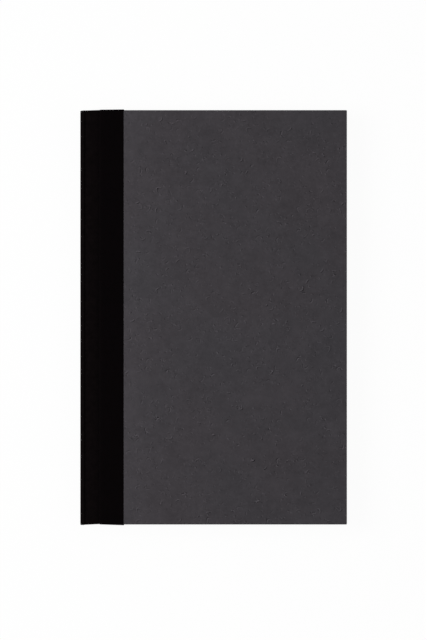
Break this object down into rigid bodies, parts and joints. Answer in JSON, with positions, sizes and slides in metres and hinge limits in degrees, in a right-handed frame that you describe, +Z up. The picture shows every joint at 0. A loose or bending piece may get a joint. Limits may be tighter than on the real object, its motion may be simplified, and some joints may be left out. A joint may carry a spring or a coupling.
{
  "type": "ledger book",
  "caption": "Closed hardback ledger book with a black cloth spine, charcoal paper sides, covers that open and sewn sections of leaves that turn.",
  "frame": {"origin": "centre of the closed book's footprint, on the surface that its back cover lies on", "axes": "+X from the spine to the fore edge, +Y to the head of the book, +Z up through the front cover"},
  "size_m": [0.1402, 0.2186, 0.0175],
  "materials": {
    "book_cloth": "black matt woven book cloth",
    "charcoal_paper": "charcoal cover paper with fibre flecks",
    "greyboard": "dense grey binder's board",
    "ledger_paper": "smooth cream ledger paper",
    "endpaper": "plain off-white endpaper",
    "mull": "open-weave cotton mull",
    "kraft_lining": "kraft spine lining",
    "linen_thread": "waxed linen thread",
    "band_cord": "black cotton end band"
  },
  "bodies": {
    "spine": {"spine_cloth": "book_cloth", "spine_inlay": "greyboard", "spine_lining": "kraft_lining", "spine_mull": "mull", "sewing_thread": "linen_thread", "head_band": "band_cord", "tail_band": "band_cord", "front_joint_cloth": "book_cloth", "back_joint_cloth": "book_cloth"},
    "front_cover": {"front_board": "greyboard", "front_cloth": "book_cloth", "front_side_paper": "charcoal_paper", "front_mull_flange": "mull", "front_pastedown": "endpaper"},
    "back_cover": {"back_board": "greyboard", "back_cloth": "book_cloth", "back_side_paper": "charcoal_paper", "back_mull_flange": "mull", "back_pastedown": "endpaper"},
    "front_flyleaf": {"front_flyleaf": "endpaper"},
    "section_1": {"section_1": "ledger_paper"},
    "section_2": {"section_2": "ledger_paper"},
    "section_3": {"section_3": "ledger_paper"},
    "section_4": {"section_4": "ledger_paper"},
    "section_5": {"section_5": "ledger_paper"},
    "section_6": {"section_6": "ledger_paper"},
    "section_7": {"section_7": "ledger_paper"},
    "section_8": {"section_8": "ledger_paper"},
    "back_flyleaf": {"back_flyleaf": "endpaper"}
  },
  "joints": [
    {"name": "front_cover_open", "type": "hinge", "parent": "spine", "child": "front_cover", "pos_m": [-0.06717, 0, 0.01443], "axis": [0, -1, 0], "range_deg": [0, 179], "deforming": ["front_joint_cloth"]},
    {"name": "back_cover_open", "type": "hinge", "parent": "spine", "child": "back_cover", "pos_m": [-0.06717, 0, 0.00303], "axis": [0, 1, 0], "range_deg": [0, 179], "deforming": ["back_joint_cloth"]},
    {"name": "front_flyleaf_turn", "type": "hinge", "parent": "spine", "child": "front_flyleaf", "pos_m": [-0.06717, 0, 0.01443], "axis": [0, -1, 0], "range_deg": [0, 180]},
    {"name": "section_1_turn", "type": "hinge", "parent": "spine", "child": "section_1", "pos_m": [-0.06717, 0, 0.01443], "axis": [0, -1, 0], "range_deg": [0, 180]},
    {"name": "section_2_turn", "type": "hinge", "parent": "spine", "child": "section_2", "pos_m": [-0.06717, 0, 0.01443], "axis": [0, -1, 0], "range_deg": [0, 180]},
    {"name": "section_3_turn", "type": "hinge", "parent": "spine", "child": "section_3", "pos_m": [-0.06717, 0, 0.01443], "axis": [0, -1, 0], "range_deg": [0, 180]},
    {"name": "section_4_turn", "type": "hinge", "parent": "spine", "child": "section_4", "pos_m": [-0.06717, 0, 0.01443], "axis": [0, -1, 0], "range_deg": [0, 180]},
    {"name": "section_5_turn", "type": "hinge", "parent": "spine", "child": "section_5", "pos_m": [-0.06717, 0, 0.01443], "axis": [0, -1, 0], "range_deg": [0, 180]},
    {"name": "section_6_turn", "type": "hinge", "parent": "spine", "child": "section_6", "pos_m": [-0.06717, 0, 0.01443], "axis": [0, -1, 0], "range_deg": [0, 180]},
    {"name": "section_7_turn", "type": "hinge", "parent": "spine", "child": "section_7", "pos_m": [-0.06717, 0, 0.01443], "axis": [0, -1, 0], "range_deg": [0, 180]},
    {"name": "section_8_turn", "type": "hinge", "parent": "spine", "child": "section_8", "pos_m": [-0.06717, 0, 0.01443], "axis": [0, -1, 0], "range_deg": [0, 180]},
    {"name": "back_flyleaf_turn", "type": "hinge", "parent": "spine", "child": "back_flyleaf", "pos_m": [-0.06717, 0, 0.01443], "axis": [0, -1, 0], "range_deg": [0, 180]}
  ],
  "couplings": [
    {"joint": "front_flyleaf_turn", "follows": "front_cover_open", "ratio": 0.997},
    {"joint": "section_1_turn", "follows": "front_cover_open", "ratio": 0.994},
    {"joint": "section_2_turn", "follows": "front_cover_open", "ratio": 0.991},
    {"joint": "section_3_turn", "follows": "front_cover_open", "ratio": 0.988},
    {"joint": "section_4_turn", "follows": "front_cover_open", "ratio": 0.985},
    {"joint": "section_5_turn", "follows": "front_cover_open", "ratio": 0.015},
    {"joint": "section_6_turn", "follows": "front_cover_open", "ratio": 0.012},
    {"joint": "section_7_turn", "follows": "front_cover_open", "ratio": 0.009},
    {"joint": "section_8_turn", "follows": "front_cover_open", "ratio": 0.006},
    {"joint": "back_flyleaf_turn", "follows": "front_cover_open", "ratio": 0.003}
  ]
}
